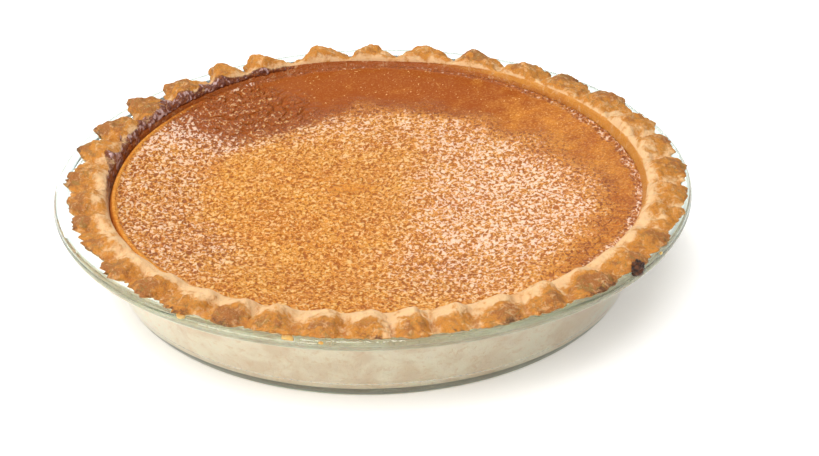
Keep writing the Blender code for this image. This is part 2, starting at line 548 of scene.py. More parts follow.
@dataclass(frozen=True)
class ClearGlass:
    """Clear dish glass with the green of its thick edges."""

    tint: Colour = (0.985, 0.995, 0.99)
    edge_green: Colour = (0.47, 0.76, 0.66)
    edge_strength: float = 13.0
    bead_tint: Colour = (0.86, 0.95, 0.92)
    shadow_tint: Colour = (0.97, 0.93, 0.87)
    index: float = 1.5
    roughness: float = 0.02

    def build(self) -> bpy.types.Material:
        """Material that lets light through to what the dish holds."""
        made = Shading("clear_glass")
        glass = made.add("ShaderNodeBsdfPrincipled", None, {
            "Base Color": made.mix(made.attribute("bead"), self.tint, self.bead_tint),
            "Roughness": self.roughness, "IOR": self.index, "Transmission Weight": 1.0})
        light = made.add("ShaderNodeBsdfTransparent", None, {"Color": (*self.shadow_tint, 1.0)})
        path = made.add("ShaderNodeLightPath")
        both = made.add("ShaderNodeMixShader", None, {
            0: path.outputs["Is Shadow Ray"], 1: glass.outputs[0], 2: light.outputs[0]})
        depth = made.add("ShaderNodeVolumeAbsorption", None, {
            "Color": (*self.edge_green, 1.0), "Density": self.edge_strength})
        return made.finish(both.outputs[0], depth.outputs[0])


@dataclass(frozen=True)
class BakedPastry:
    """Short pastry: pale where it is sheltered, golden on the crimps and dark at their tips."""

    pale: Colour = (0.76, 0.49, 0.25)
    raw: Colour = (1.0, 0.86, 0.66)
    raw_tan: Colour = (0.86, 0.66, 0.46)
    golden: Colour = (0.53, 0.205, 0.024)
    brown: Colour = (0.33, 0.115, 0.022)
    dark: Colour = (0.11, 0.04, 0.013)
    olive: Colour = (0.29, 0.155, 0.035)
    syrup: Colour = (0.38, 0.09, 0.009)
    syrup_light: Colour = (0.62, 0.26, 0.035)
    film: Colour = (0.16, 0.05, 0.032)
    film_edge: Colour = (0.26, 0.075, 0.02)
    # Painted glints on the dark film.
    film_glint: Colour = (0.62, 0.42, 0.40)
    # Painted shade in the creases between the front flutes.
    crease_shade: Colour = (0.40, 0.14, 0.025)
    turns_golden: Breakup = Breakup(0.02, 0.56, 2.1, 0.8)
    turns_brown: Breakup = Breakup(0.66, 1.25, 2.2, 1.3)
    turns_dark: Breakup = Breakup(0.45, 0.95, spotty=1.8)
    turns_crease_shaded: Breakup = Breakup(0.45, 0.95, spotty=1.2)
    turns_honey: Breakup = Breakup(0.1, 0.9, 0.6, weight=0.8)
    turns_syrupy: Breakup = Breakup(0.3, 0.7, spotty=0.5)
    turns_filmy: Breakup = Breakup(0.1, 0.8, 2.4, 1.0, 0.9)
    film_thickens: Breakup = Breakup(0.5, 1.1, 1.0, 2.6, 0.85)
    film_glints: Breakup = Breakup(0.53, 0.66, 0.6)
    patch_noise: Triple = (5.5, 3.0, 0.6)
    spot_noise: Triple = (1.7, 3.0, 0.8)
    grain_size: float = 0.45
    mottle_noise: Triple = (2.6, 4.0, 1.2)
    mottle_edge: Point = (0.50, 0.66)
    flour_noise: Triple = (3.0, 4.0, 0.8)
    flour_edge: Point = (0.52, 0.66)
    flour_roughness: float = 0.65
    film_lump_size: float = 2.0
    glint_noise: Triple = (2.2, 2.0, 0.6)
    wall_noise: Triple = (15.0, 4.0, 0.5)
    wall_edge: Point = (0.38, 0.65)
    film_starts: Point = (0.02, 0.25)
    wet_edge: Point = (0.2, 0.9)
    olive_share: float = 0.75
    crease_shade_share: float = 0.7
    flour_share: float = 0.45
    grain_share: float = 0.9
    glint_share: float = 0.85
    dry_roughness: float = 0.78
    wet_shine: float = 0.5
    grain_relief: float = 0.5
    spot_relief: float = 0.9
    film_relief: float = 3.0
    relief_depth: float = 0.7
    specular: float = 0.35
    scatter: Scatter = Scatter(0.12, 0.004, (1.0, 0.5, 0.2))

    def build(self) -> bpy.types.Material:
        """Material driven by the attributes that the pastry's mesh carries."""
        made = Shading("baked_pastry")
        patches = made.noise(*self.patch_noise)
        spots = made.noise(*self.spot_noise)
        grain = made.noise(self.grain_size)
        toast, syrup, stored_film = [made.attribute(name) for name in ("toast", "syrup", "film")]
        mottled = made.noise(*self.mottle_noise).step(*self.mottle_edge) * toast * self.olive_share
        # Painted shade in the creases between the front flutes.
        crease_shaded = self.turns_crease_shaded.of(made.attribute("crease_shade"), patches, spots) * self.crease_shade_share
        wall = made.mix(made.noise(*self.wall_noise).step(*self.wall_edge), self.raw, self.raw_tan)
        sweet = made.mix(self.turns_honey.of(made.attribute("honey"), patches), self.syrup, self.syrup_light)
        film = self.turns_filmy.of(stored_film, patches, spots) * stored_film.step(*self.film_starts)
        # Painted glints: pinkish highlight spots on the dark film.
        glints = self.film_glints.of(made.noise(*self.glint_noise), patches) * self.glint_share
        thick = self.film_thickens.of(stored_film, patches, spots)
        skin = made.coats(self.film_edge, (thick, self.film), (glints, self.film_glint))
        floured = made.noise(*self.flour_noise, roughness=self.flour_roughness).step(*self.flour_edge)
        floured = floured * self.flour_share + (grain - 0.5) * self.grain_share
        colour = made.coats(
            self.pale,
            (self.turns_golden.of(toast, patches, spots), self.golden),
            (self.turns_brown.of(toast, patches, spots), self.brown),
            (mottled, self.olive),
            (self.turns_dark.of(made.attribute("tip"), patches, spots), self.dark),
            (crease_shaded, self.crease_shade),
            (made.attribute("raw"), wall),
            # Syrup, which in the left crevice is partly painted shade.
            (self.turns_syrupy.of(syrup, patches, spots), sweet),
            (film, skin),
            (floured * (1 - film), self.pale))
        wet = (film + syrup).step(*self.wet_edge)
        relief = grain * self.grain_relief + spots * self.spot_relief
        relief = relief + film * made.noise(self.film_lump_size) * self.film_relief
        shader = made.add("ShaderNodeBsdfPrincipled", None, {
            "Base Color": colour, "Roughness": self.dry_roughness - wet * self.wet_shine,
            "Normal": made.bump(relief, self.relief_depth), "Specular IOR Level": self.specular,
            **self.scatter.inputs()})
        return made.finish(shader.outputs[0])


@dataclass(frozen=True)
class SetFilling:
    """Sweet potato filling: orange, wet and finely pebbled, with smooth bands darkened by painted shade, and
    painted highlights on its pebbles with painted shade between them.
    """

    orange: Colour = (0.57, 0.19, 0.018)
    light: Colour = (0.64, 0.25, 0.028)
    # Deep tone, which also serves as painted shade.
    deep_tone_and_shade: Colour = (0.30, 0.063, 0.003)
    # Painted shade in the hollows between pebbles.
    pebble_shade: Colour = (0.37, 0.10, 0.008)
    deep_pebble_shade: Colour = (0.235, 0.055, 0.008)
    red: Colour = (0.45, 0.11, 0.02)
    # Painted small glints.
    glint_amber: Colour = (0.84, 0.44, 0.11)
    # Painted highlight colours for the flecks and the sheen on the pebbles.
    highlight_cream: Colour = (0.94, 0.61, 0.25)
    highlight_pink: Colour = (0.95, 0.72, 0.56)
    turns_deep_and_shaded: Breakup = Breakup(0.15, 1.0, 0.5)
    turns_highlight_pink: Breakup = Breakup(0.1, 0.8, 0.8)
    cloud_size: float = 14.0
    cloud_edge: Point = (0.3, 0.7)
    patch_noise: Triple = (4.5, 3.0, 0.4)
    red_edge: Point = (0.52, 0.75)
    coarse_noise: Triple = (2.3, 2.0, 0.9)
    coarse_relief: float = 0.6
    speck_noise: Point = (0.95, 1.0)
    speck_edge: Point = (0.5, 0.62)
    speck_light: float = 0.95
    speck_dark: float = 0.8
    dot_noise: Point = (1.1, 1.0)
    dot_edge: Point = (0.68, 0.76)
    pebble_noise: Triple = (1.25, 1.5, 0.7)
    rough_edge: Point = (0.05, 0.6)
    pebble_shade_deepens: Point = (0.1, 0.6)
    pebble_shade_level: float = 0.47
    pebble_shade_fades: Point = (0.0, 0.1)
    lit_edge: Point = (0.535, 0.67)
    lit_by_sheen: float = 0.08
    lit_by_patches: float = 0.15
    unlit_smooth: float = 0.3
    smooth_relief: float = 0.07
    pebble_depth: float = 1.2
    pebble_squeeze: Triple = (1.0, 0.7, 1.0)
    pebble_turn: float = -14.0
    red_share: float = 0.45
    speck_share: float = 0.55
    sheen_veil_share: float = 0.03
    highlight_share: float = 0.62
    sheen_share: float = 0.15
    dot_share: float = 0.7
    wet_roughness: float = 0.26
    smooth_roughness: float = 0.3
    specular: float = 0.15
    scatter: Scatter = Scatter(0.1, 0.003, (1.0, 0.35, 0.1))

    def build(self) -> bpy.types.Material:
        """Material driven by the attributes that the filling's mesh carries."""
        made = Shading("set_filling")
        patches = made.noise(*self.patch_noise)
        pebbles = made.noise(*self.pebble_noise, self.pebble_squeeze, self.pebble_turn)
        pebbled, sheen, dark = [made.attribute(name) for name in ("pebble", "sheen", "dark")]
        rough = pebbled.step(*self.rough_edge)
        sparse = 1 - pebbled
        # Painted small glints, fewer where the filling is dark.
        glint_specks = made.noise(*self.speck_noise).step(*self.speck_edge)
        glint_specks = glint_specks * (self.speck_light - dark * self.speck_dark) * self.speck_share
        # Painted shade in the hollows between pebbles, deeper where the filling is dark.
        pebble_shades = made.mix(dark.step(*self.pebble_shade_deepens), self.pebble_shade, self.deep_pebble_shade)
        lit = pebbles + sheen * self.lit_by_sheen + (patches - 0.5) * self.lit_by_patches
        lit = (lit - sparse * self.unlit_smooth).step(*self.lit_edge)
        # Painted highlights on the pebbles, cream or pink where the painted sheen is.
        highlighted = lit * rough * (sheen * self.sheen_share + pebbled * self.highlight_share)
        highlight_colour = made.mix(self.turns_highlight_pink.of(sheen, patches), self.highlight_cream, self.highlight_pink)
        # Painted small glints on the smooth bands.
        glint_dots = made.noise(*self.dot_noise).step(*self.dot_edge) * (1 - rough) * self.dot_share
        colour = made.coats(
            self.orange,
            (made.noise(self.cloud_size).step(*self.cloud_edge), self.light),
            (patches.step(*self.red_edge) * self.red_share, self.red),
            # Darker tone and painted shade, from the dark attribute.
            (self.turns_deep_and_shaded.of(dark, patches), self.deep_tone_and_shade),
            (glint_specks, self.glint_amber),
            # Painted shade in the hollows between pebbles.
            ((self.pebble_shade_level - pebbles).step(*self.pebble_shade_fades) * rough, pebble_shades),
            # Painted sheen over the pebbles.
            (sheen * rough * self.sheen_veil_share, self.highlight_pink),
            (highlighted, highlight_colour),
            (glint_dots, self.highlight_cream))
        relief = pebbles * (rough * (1 - self.smooth_relief) + self.smooth_relief)
        relief = relief + made.noise(*self.coarse_noise) * rough * self.coarse_relief
        shader = made.add("ShaderNodeBsdfPrincipled", None, {
            "Base Color": colour, "Roughness": self.wet_roughness + sparse * self.smooth_roughness,
            "Normal": made.bump(relief, self.pebble_depth), "Specular IOR Level": self.specular,
            **self.scatter.inputs()})
        return made.finish(shader.outputs[0])


@dataclass(frozen=True)
class BurntSugar:
    """Nearly black, shiny burnt drop."""

    brown: Colour = (0.13, 0.042, 0.014)
    black: Colour = (0.022, 0.009, 0.005)
    blister_noise: Triple = (1.3, 3.0, 0.7)
    blister_edge: Point = (0.4, 0.65)
    relief_depth: float = 0.7
    roughness: float = 0.4
    specular: float = 0.3

    def build(self) -> bpy.types.Material:
        """Material with blisters."""
        made = Shading("burnt_sugar")
        blisters = made.noise(*self.blister_noise)
        shader = made.add("ShaderNodeBsdfPrincipled", None, {
            "Base Color": made.mix(blisters.step(*self.blister_edge), self.black, self.brown),
            "Roughness": self.roughness, "Specular IOR Level": self.specular,
            "Normal": made.bump(blisters, self.relief_depth)})
        return made.finish(shader.outputs[0])


@dataclass(frozen=True)
class Butter:
    """Melted butter that ran over the edge and set."""

    yellow: Colour = (0.62, 0.33, 0.06)
    pale: Colour = (0.70, 0.50, 0.18)
    cloud_size: float = 2.0
    cloud_edge: Point = (0.4, 0.65)
    lump_size: float = 1.4
    relief_depth: float = 0.2
    roughness: float = 0.3
    scatter: Scatter = Scatter(0.3, 0.002, (1.0, 0.6, 0.2))

    def build(self) -> bpy.types.Material:
        """Soft shiny material."""
        made = Shading("set_butter")
        clouds = made.noise(self.cloud_size)
        shader = made.add("ShaderNodeBsdfPrincipled", None, {
            "Base Color": made.mix(clouds.step(*self.cloud_edge), self.yellow, self.pale),
            "Roughness": self.roughness, **self.scatter.inputs(),
            "Normal": made.bump(made.noise(self.lump_size), self.relief_depth)})
        return made.finish(shader.outputs[0])


@dataclass(frozen=True)
class Around:
    """A size that differs from front to back and from left to right."""

    middle: float
    back: float
    right: float = 0.0

    def at(self, angle: Any) -> Any:
        """The size at an angle in radians."""
        return self.middle + self.back * np.sin(angle) + self.right * np.cos(angle)


@dataclass(frozen=True)
class Lean:
    """Sizes that the dish, pastry and filling share, in mm."""

    wall_lean: float = 0.386
    glass_inside: float = 95.9
    glass_outside: float = 100.5
    pastry_inside: float = 91.3
    level: Around = Around(38.1, 1.2)
    wander: tuple[tuple[int, float, float], ...] = ((1, 1.3, 58.0), (2, 1.4, 151.0), (3, 1.4, 69.0))

    def wall(self, at_table: float, height: Any) -> Any:
        """Radius of a leaning wall at a height."""
        return at_table + self.wall_lean * height

    def edge_wander(self, angle: Any) -> Any:
        """How far the filling's edge stands off its true circle."""
        return sum(size * np.cos(waves * angle + math.radians(turn)) for waves, size, turn in self.wander)

    def filling_edge(self, angle: Any) -> Any:
        """Radius of the pastry's inner wall at the filling's edge."""
        return self.wall(self.pastry_inside, self.level.at(angle)) + self.edge_wander(angle)


@dataclass
class GlassDish:
    """Pressed-glass pie dish, in mm: foot ring, leaning wall, flange with a raised bead."""

    shape: Lean
    rim_radius: float = 125.0
    dish_height: float = 40.0
    foot_outside: float = 94.5
    foot_inside: float = 86.0
    foot_recess: float = 0.8
    floor: float = 4.5
    floor_bend: float = 6.0
    flange_top: float = 38.8
    flange_bend: float = 1.8
    flange_underside: float = 35.2
    flange_underside_bend: float = 2.0
    foot_bend: float = 5.9
    bead_height: float = 37.4
    bead_width: float = 8.0
    bead_full_width: float = 5.0
    middle: float = 8.0
    floor_step: float = 60.0
    inside_steps: Triple = (16.0, 24.0, 32.0)
    outside_steps: Triple = (28.0, 20.0, 12.0)
    segments: int = 256

    def bead(self) -> list[Point]:
        """Curve over the bead at the rim, from the flange's top to its underside."""
        top, under = self.flange_top, self.flange_underside
        inwards = ((6.5, top + 0.25), (5.0, top + 0.6), (3.6, self.dish_height - 0.25),
                   (2.2, self.dish_height), (0.7, self.dish_height - 0.9), (0.0, self.bead_height),
                   (0.7, under + 0.4), (2.5, under - 0.3), (6.0, under))
        curve = smooth_curve([(self.rim_radius - distance, height) for distance, height in inwards], 4)
        return [tuple(point) for point in curve]

    def profile(self) -> list[Point]:
        """Section from the middle of the inside, over the bead, to the middle underneath."""
        inside, outside = [partial(self.shape.wall, at_table) for at_table in (
            self.shape.glass_inside, self.shape.glass_outside)]
        floor_corner = (inside(self.floor), self.floor)
        inner_top = (inside(self.flange_top), self.flange_top)
        outer_top = (outside(self.flange_underside), self.flange_underside)
        outer_foot = (outside(0.0), 0.0)
        points = [(self.middle, self.floor), (self.floor_step, self.floor)]
        points += rounded((0.0, self.floor), floor_corner, inner_top, self.floor_bend, 8)
        points += [(inside(height), height) for height in self.inside_steps]
        points += rounded(floor_corner, inner_top, (self.rim_radius, self.flange_top), self.flange_bend, 5)
        points += self.bead()
        rim_under = (self.rim_radius, self.flange_underside)
        points += rounded(rim_under, outer_top, outer_foot, self.flange_underside_bend, 5)
        points += [(outside(height), height) for height in self.outside_steps]
        points += rounded(outer_top, outer_foot, (self.foot_outside, 0.0), self.foot_bend, 8)
        points += [(self.foot_inside, 0.0), (self.foot_inside - 2.0, self.foot_recess)]
        return [*points, (self.middle, self.foot_recess)]

    def build(self, glass: bpy.types.Material) -> None:
        """Turn the dish, mark its bead and dress it."""
        dish = lathe("pie_dish", self.profile(), self.segments)
        x, y = points_of(dish)[:, :2].T / MM
        inwards = self.rim_radius - np.hypot(x, y)
        put_attribute(dish, "bead", ease(inwards, self.bead_width, self.bead_full_width))
        dress(dish, glass, Slot.GLASS, "glass_dish")


@dataclass(frozen=True)
class Edge:
    """Numbers of the pastry's vertices that its marks follow, an array each.

    angle is round the pie. share runs from 0 at the filling to 1 at the tips. wave is 0 in a notch and 1
    on a flute. character is each flute's own. climb is 0 at the filling's level and 1 at a notch's top.
    """

    angle: np.ndarray
    share: np.ndarray
    wave: np.ndarray
    character: np.ndarray
    climb: np.ndarray
    on_rim: np.ndarray

    def around(self) -> np.ndarray:
        """Points on a circle, for noise that runs round the edge."""
        return on_circle(self.angle)


@dataclass(frozen=True)
class Browning:
    """Where the crimped edge browns: on the flutes' lobes and tips, later at the front. Also its painted
    crease shade.
    """

    rear: Arc = Arc(95.0, 85.0, 45.0)
    front: Arc = Arc(265.0, 85.0, 60.0)
    right: Arc = Arc(0.0, 60.0, 30.0)
    left: Arc = Arc(172.0, 45.0, 25.0)
    beside_drop: Arc = Arc(-46.0, 16.0, 6.0)
    rear_lead: float = 0.3
    right_lead: float = 0.1
    front_delay: float = 0.12
    front_notches: float = 0.45
    lobe_spread: float = 0.65
    lobe_start: Point = (0.16, 0.5)
    outside_start: Point = (0.45, 0.8)
    crease_shade_start: Point = (0.35, 0.7)
    tip_start: Point = (0.72, 1.0)
    lobe: float = 0.78
    lobe_variety: float = 1.4
    outside: float = 0.35
    all_over_left: float = 0.25
    all_over_rear: float = 0.1
    crease_shade_sharpness: float = 2.5
    tip_in_notch: float = 0.35

    def mark(self, made: bpy.types.Object, edge: Edge) -> None:
        """Store how toasted each vertex is, how dark at the tips, and how much shade is painted into its
        creases.
        """
        at_rear, in_front = self.rear.at(edge.angle), self.front.at(edge.angle)
        lead = self.rear_lead * at_rear - self.front_delay * in_front
        lead = lead + self.right_lead * self.right.at(edge.angle)
        joined = edge.wave + (1 - edge.wave) * self.front_notches * in_front
        lobe = joined ** self.lobe_spread * ease(edge.share + lead, *self.lobe_start)
        outside = edge.wave * ease(edge.share, *self.outside_start) + lobe * self.beside_drop.at(edge.angle)
        all_over = self.all_over_left * self.left.at(edge.angle) + self.all_over_rear * at_rear
        toast = lobe * (self.lobe + self.lobe_variety * edge.character[:, 1])
        on_top = edge.on_rim * ease(edge.share, 0.0, 0.15)
        put_attribute(made, "toast", on_top * (toast + self.outside * outside + all_over))
        # Painted shade, deepest in the notches between the front flutes.
        crease_shade = (1 - edge.wave) ** self.crease_shade_sharpness * ease(edge.share, *self.crease_shade_start) * in_front
        put_attribute(made, "crease_shade", on_top * crease_shade)
        tip = ease(edge.share, *self.tip_start) * (self.tip_in_notch + (1 - self.tip_in_notch) * edge.wave)
        put_attribute(made, "tip", edge.on_rim * tip * edge.character[:, 2])


@dataclass(frozen=True)
class Stickiness:
    """Where syrup and a dark baked film cling to the inside of the edge, and where syrup colour in the left
    crevice is partly painted shade.
    """

    inside: float = 0.26
    right: Arc = Arc(20.0, 70.0, 35.0)
    rear_left: Arc = Arc(135.0, 52.0, 25.0)
    film: Arc = Arc(150.0, 44.0, 32.0)
    thin_film: Arc = Arc(190.0, 35.0, 20.0)
    thinning: float = 0.2
    high_film: Arc = Arc(137.0, 30.0, 12.0)
    film_top: float = 0.85
    film_rise: float = 0.4
    film_wander: Ripple = Ripple(9.0, 0.7, 3.0)
    film_fades: Point = (0.4, 0.0)
    film_starts: Point = (0.25, 0.6)
    honey_starts: Point = (0.05, 0.4)
    syrup: Arc = Arc(75.0, 150.0, 120.0)
    rear_left_rise: float = 0.35
    right_rise: float = 0.45
    syrup_fades: Point = (0.62, 0.3)
    # Left crevice: syrup colour that is partly syrup and partly painted shade.
    crevice: Arc = Arc(203.0, 57.0, 35.0)
    crevice_fades: Point = (0.7, 0.25)

    def mark(self, made: bpy.types.Object, edge: Edge) -> None:
        """Store how much film and syrup, dark or honey, each vertex carries; the dark syrup in the left
        crevice is partly painted shade.
        """
        angle, climb = edge.angle, edge.climb
        right = self.right.at(angle)
        inside = edge.on_rim * (edge.share < self.inside)
        put_attribute(made, "honey", right * ease(climb, *self.honey_starts))
        film = self.film.at(angle) * (1 - self.thinning * self.thin_film.at(angle))
        top = self.film_top + self.film_rise * self.high_film.at(angle) + self.film_wander.at(edge.around())
        film = film * ease(climb - top, *self.film_fades) * ease(climb, *self.film_starts)
        put_attribute(made, "film", inside * film)
        rise = self.rear_left_rise * self.rear_left.at(angle) + self.right_rise * right
        syrup = ease(climb - rise, *self.syrup_fades) * self.syrup.at(angle)
        # Syrup colour in the left crevice, partly syrup and partly painted shade.
        crevice = ease(climb, *self.crevice_fades) * self.crevice.at(angle)
        put_attribute(made, "syrup", inside * np.maximum(syrup, crevice))


@dataclass
class PastryCase:
    """Pastry lining with its crimped edge, in mm."""

    shape: Lean
    browning: Browning = Browning()
    stickiness: Stickiness = Stickiness()
    flutes: int = 36
    bunching: float = 11.5
    moved: tuple[tuple[Arc, float], ...] = ((Arc(130.0, 60.0, 20.0), 0.8), (Arc(83.5, 9.0, 2.0), 1.7))
    breadth: float = 0.62
    skew: float = -0.4
    slant: float = 0.8
    crest_reach: Around = Around(123.0, -3.6, 0.8)
    notch_reach: Around = Around(119.2, -5.4, 0.8)
    crest_height: Around = Around(45.0, 1.2)
    notch_height: Around = Around(41.5, 1.2)
    notch_side_rise: float = 0.5
    rear_left: Arc = Arc(135.0, 52.0, 25.0)
    rear_left_height: float = 0.55
    rear_left_reach: float = 2.6
    drawn_in: Arc = Arc(190.0, 45.0, 20.0)
    drawn_in_by: float = 1.6
    torn_left: Point = (0.2, 0.9)
    torn_tips: Point = (0.6, 1.0)
    small_teeth: Ripple = Ripple(1.6)
    large_teeth: Ripple = Ripple(4.0, 1.0, 9.0)
    crest_curve: tuple[Point, ...] = (
        (0.0, 0.0), (0.05, 0.45), (0.18, 0.88), (0.38, 1.0), (0.62, 0.9), (0.85, 0.58), (1.0, 0.14))
    valley_curve: tuple[Point, ...] = (
        (0.0, 0.0), (0.05, 0.75), (0.2, 1.0), (0.46, 0.5), (0.68, 0.28), (0.87, 0.2), (1.0, 0.08))
    rows_between: int = 7
    under_rows: int = 6
    wall_rows: int = 12
    columns: int = 1080
    flange_inside: float = 112.2
    flange_top: float = 38.8
    lift_off: float = 1.15
    lifts_off: Point = (110.0, 124.5)
    widest: float = 126.5
    edge_thickness: float = 1.1
    wall_top: float = 37.5
    wall_foot: float = 9.5
    reach_into_glass: float = 0.15
    gap_over_flange: float = 0.05
    pastry_floor: float = 8.3
    underside: float = 4.45
    raw_starts: Point = (0.2, 0.6)
    relief_starts: Point = (0.03, 0.3)
    relief: tuple[tuple[str, float, float], ...] = (
        ("lumps", 6.5, 3.2), ("blisters", 2.8, 1.6), ("grain", 1.2, 0.5))

    def __post_init__(self) -> None:
        """Draw what makes each flute its own."""
        self.drawn = self.draws(18, (-1.2, 1.2), (-0.5, 0.5), (-1.2, 1.4))
        self.character = self.draws(7, (-0.2, 0.35), (-0.25, 0.25), (0.0, 1.0))

    def draws(self, seed: int, *spans: Point) -> np.ndarray:
        """Random numbers for each flute, one from each span."""
        draw = random.Random(seed)
        return np.array([[draw.uniform(*span) for span in spans] for _ in range(self.flutes)])

    def of_flute(self, values: np.ndarray, turn: np.ndarray) -> np.ndarray:
        """Values of the flutes at a turn, blended from one flute to the next."""
        place = turn / (2 * math.pi) * self.flutes
        first = np.floor(place).astype(int)
        share = ease(place - first, 0.0, 1.0)[..., None]
        return values[first % self.flutes] * (1 - share) + values[(first + 1) % self.flutes] * share

    def above_flange(self, radius: np.ndarray) -> np.ndarray:
        """Height of the pastry's underside where it lies on the flange."""
        return self.flange_top + self.gap_over_flange + self.lift_off * ease(radius, *self.lifts_off)

    def glass_wall(self, height: Any) -> Any:
        """Radius of the pastry's outside, which reaches just into the glass."""
        return self.shape.wall(self.shape.glass_inside + self.reach_into_glass, height)

    def inside_rows(self) -> list[Point]:
        """Section from the middle of the pastry's floor up to the crimped edge."""
        rows = [(0.0, self.pastry_floor)]
        for inwards, height in ((4.0, self.pastry_floor), (0.0, self.pastry_floor + 3.0), (0.0, 30.0)):
            rows.append((self.shape.wall(self.shape.pastry_inside, height) - inwards, height))
        return rows

    def outside_rows(self) -> list[Point]:
        """Section from the foot of the outer wall to the middle underneath."""
        corner = (self.glass_wall(self.underside), self.underside)
        foot = (self.glass_wall(self.wall_foot), self.wall_foot)
        ends = [(radius, self.underside) for radius in (60.0, 20.0, 0.0)]
        return [*rounded(foot, corner, ends[-1], 4.6, 2)[1:], *ends]

    def spread(self, turn: np.ndarray, share: np.ndarray) -> tuple[np.ndarray, np.ndarray]:
        """Angle of each vertex, and its wave from 0 in a notch to 1 on a flute."""
        lean = self.of_flute(self.character, turn)[:, 0]
        phase = (turn + lean * share ** 1.5 * 2 * math.pi / self.flutes * self.slant) * self.flutes
        wave = (0.5 + 0.5 * np.cos(phase + self.skew * np.cos(phase))) ** self.breadth
        extra = self.of_flute(self.drawn, turn)[:, 0]
        angle = turn - math.radians(self.bunching) * np.cos(turn) + np.radians(extra)
        for arc, degrees in self.moved:
            angle = angle + math.radians(degrees) * arc.at(angle)
        return angle, wave

    def reach(self, angle: np.ndarray, wave: np.ndarray, share: np.ndarray, extra: np.ndarray) -> np.ndarray:
        """Radius of the outer edge, torn into teeth that are coarsest at the left."""
        left = ease(-np.cos(angle), *self.torn_left)
        around = on_circle(angle)
        teeth = self.small_teeth.at(around) * (0.6 + 1.5 * left)
        teeth = teeth + self.large_teeth.at(around) * (0.5 + 0.8 * left) - 0.8 * left
        notch = self.notch_reach.at(angle)
        outer = notch + (self.crest_reach.at(angle) + extra - notch) * wave
        outer = outer + self.rear_left_reach * self.rear_left.at(angle) * wave
        outer = outer - self.drawn_in_by * self.drawn_in.at(angle)
        return np.minimum(outer + teeth * ease(share, *self.torn_tips), self.widest)

    def build(self, pastry: bpy.types.Material) -> None:
        """Wrap a grid round the section, mark it, roughen it and dress it."""
        crest = smooth_curve(self.crest_curve, self.rows_between)
        valley = smooth_curve(self.valley_curve, self.rows_between)
        inside_rows, outside_rows = self.inside_rows(), self.outside_rows()
        rim_start = len(inside_rows)
        under_start = rim_start + len(crest)
        wall_start = under_start + self.under_rows
        outside_start = wall_start + self.wall_rows
        last_row = outside_start + len(outside_rows) - 1
        made = grid(self.columns, last_row)
        flat = points_of(made)
        turn = flat[:, 0] * 2 * math.pi
        row = np.rint(flat[:, 1] * last_row).astype(int)

        rim_row = np.clip(row - rim_start, 0, len(crest) - 1)
        share, lift = crest[rim_row].T
        angle, wave = self.spread(turn, share)
        extra_height, extra_reach = self.of_flute(self.drawn, turn)[:, 1:].T
        level = self.shape.level.at(angle)
        notch = self.notch_height.at(angle) + self.notch_side_rise * np.cos(2 * angle)
        crest_top = self.crest_height.at(angle) + extra_height
        crest_top = crest_top + self.rear_left_height * self.rear_left.at(angle)
        inner = self.shape.filling_edge(angle)
        outer = self.reach(angle, wave, share, extra_reach)
        radius = inner + (outer - inner) * share
        low = np.maximum(self.above_flange(radius) + self.edge_thickness, level)
        crest_height = low + (crest_top - low) * lift
        valley_height = low + (notch - low) * valley[rim_row, 1]
        height = valley_height + (crest_height - valley_height) * wave

        under = np.clip((row - under_start + 1) / self.under_rows, 0, 1)
        under_radius = outer + (self.flange_inside - outer) * under
        down = np.clip((row - wall_start + 1) / self.wall_rows, 0, 1)
        wall_height = self.wall_top + (self.wall_foot - self.wall_top) * down
        on_rim = (row >= rim_start) & (row < under_start)
        is_under = (row >= under_start) & (row < wall_start)
        parts = [row < under_start, is_under]
        radius = np.select(parts, [radius, under_radius], self.glass_wall(wall_height))
        height = np.select(parts, [height, self.above_flange(under_radius)], wall_height)
        for number, place in [*enumerate(inside_rows), *enumerate(outside_rows, outside_start)]:
            radius[row == number], height[row == number] = place
        put_points(made, np.stack([radius * np.cos(angle), radius * np.sin(angle), height], axis=1) * MM)

        raw = is_under * ease(under, *self.raw_starts) + (row >= wall_start)
        put_attribute(made, "raw", np.clip(raw, 0, 1))
        climb = (height - level) / (notch + 0.3 - level)
        edge = Edge(angle, share, wave, self.of_flute(self.character, turn), climb, on_rim)
        self.browning.mark(made, edge)
        self.stickiness.mark(made, edge)
        relief = made.vertex_groups.new(name="relief")
        for number in range(rim_start + 1, under_start):
            amount = float(ease(crest[number - rim_start, 0], *self.relief_starts))
            relief.add(np.flatnonzero(row == number).tolist(), amount, "REPLACE")
        in_edit_mode(made, close_and_turn_out)
        self.roughen(made)
        settle(made, "pastry_case")
        dress(made, pastry, Slot.PASTRY, "crust")

    def roughen(self, made: bpy.types.Object) -> None:
        """Lumps, blisters and grain on the crimped edge, by displacement."""
        for name, size, depth in self.relief:
            displace(made, name, size, depth, layers=1).vertex_group = "relief"
        apply_modifiers(made)


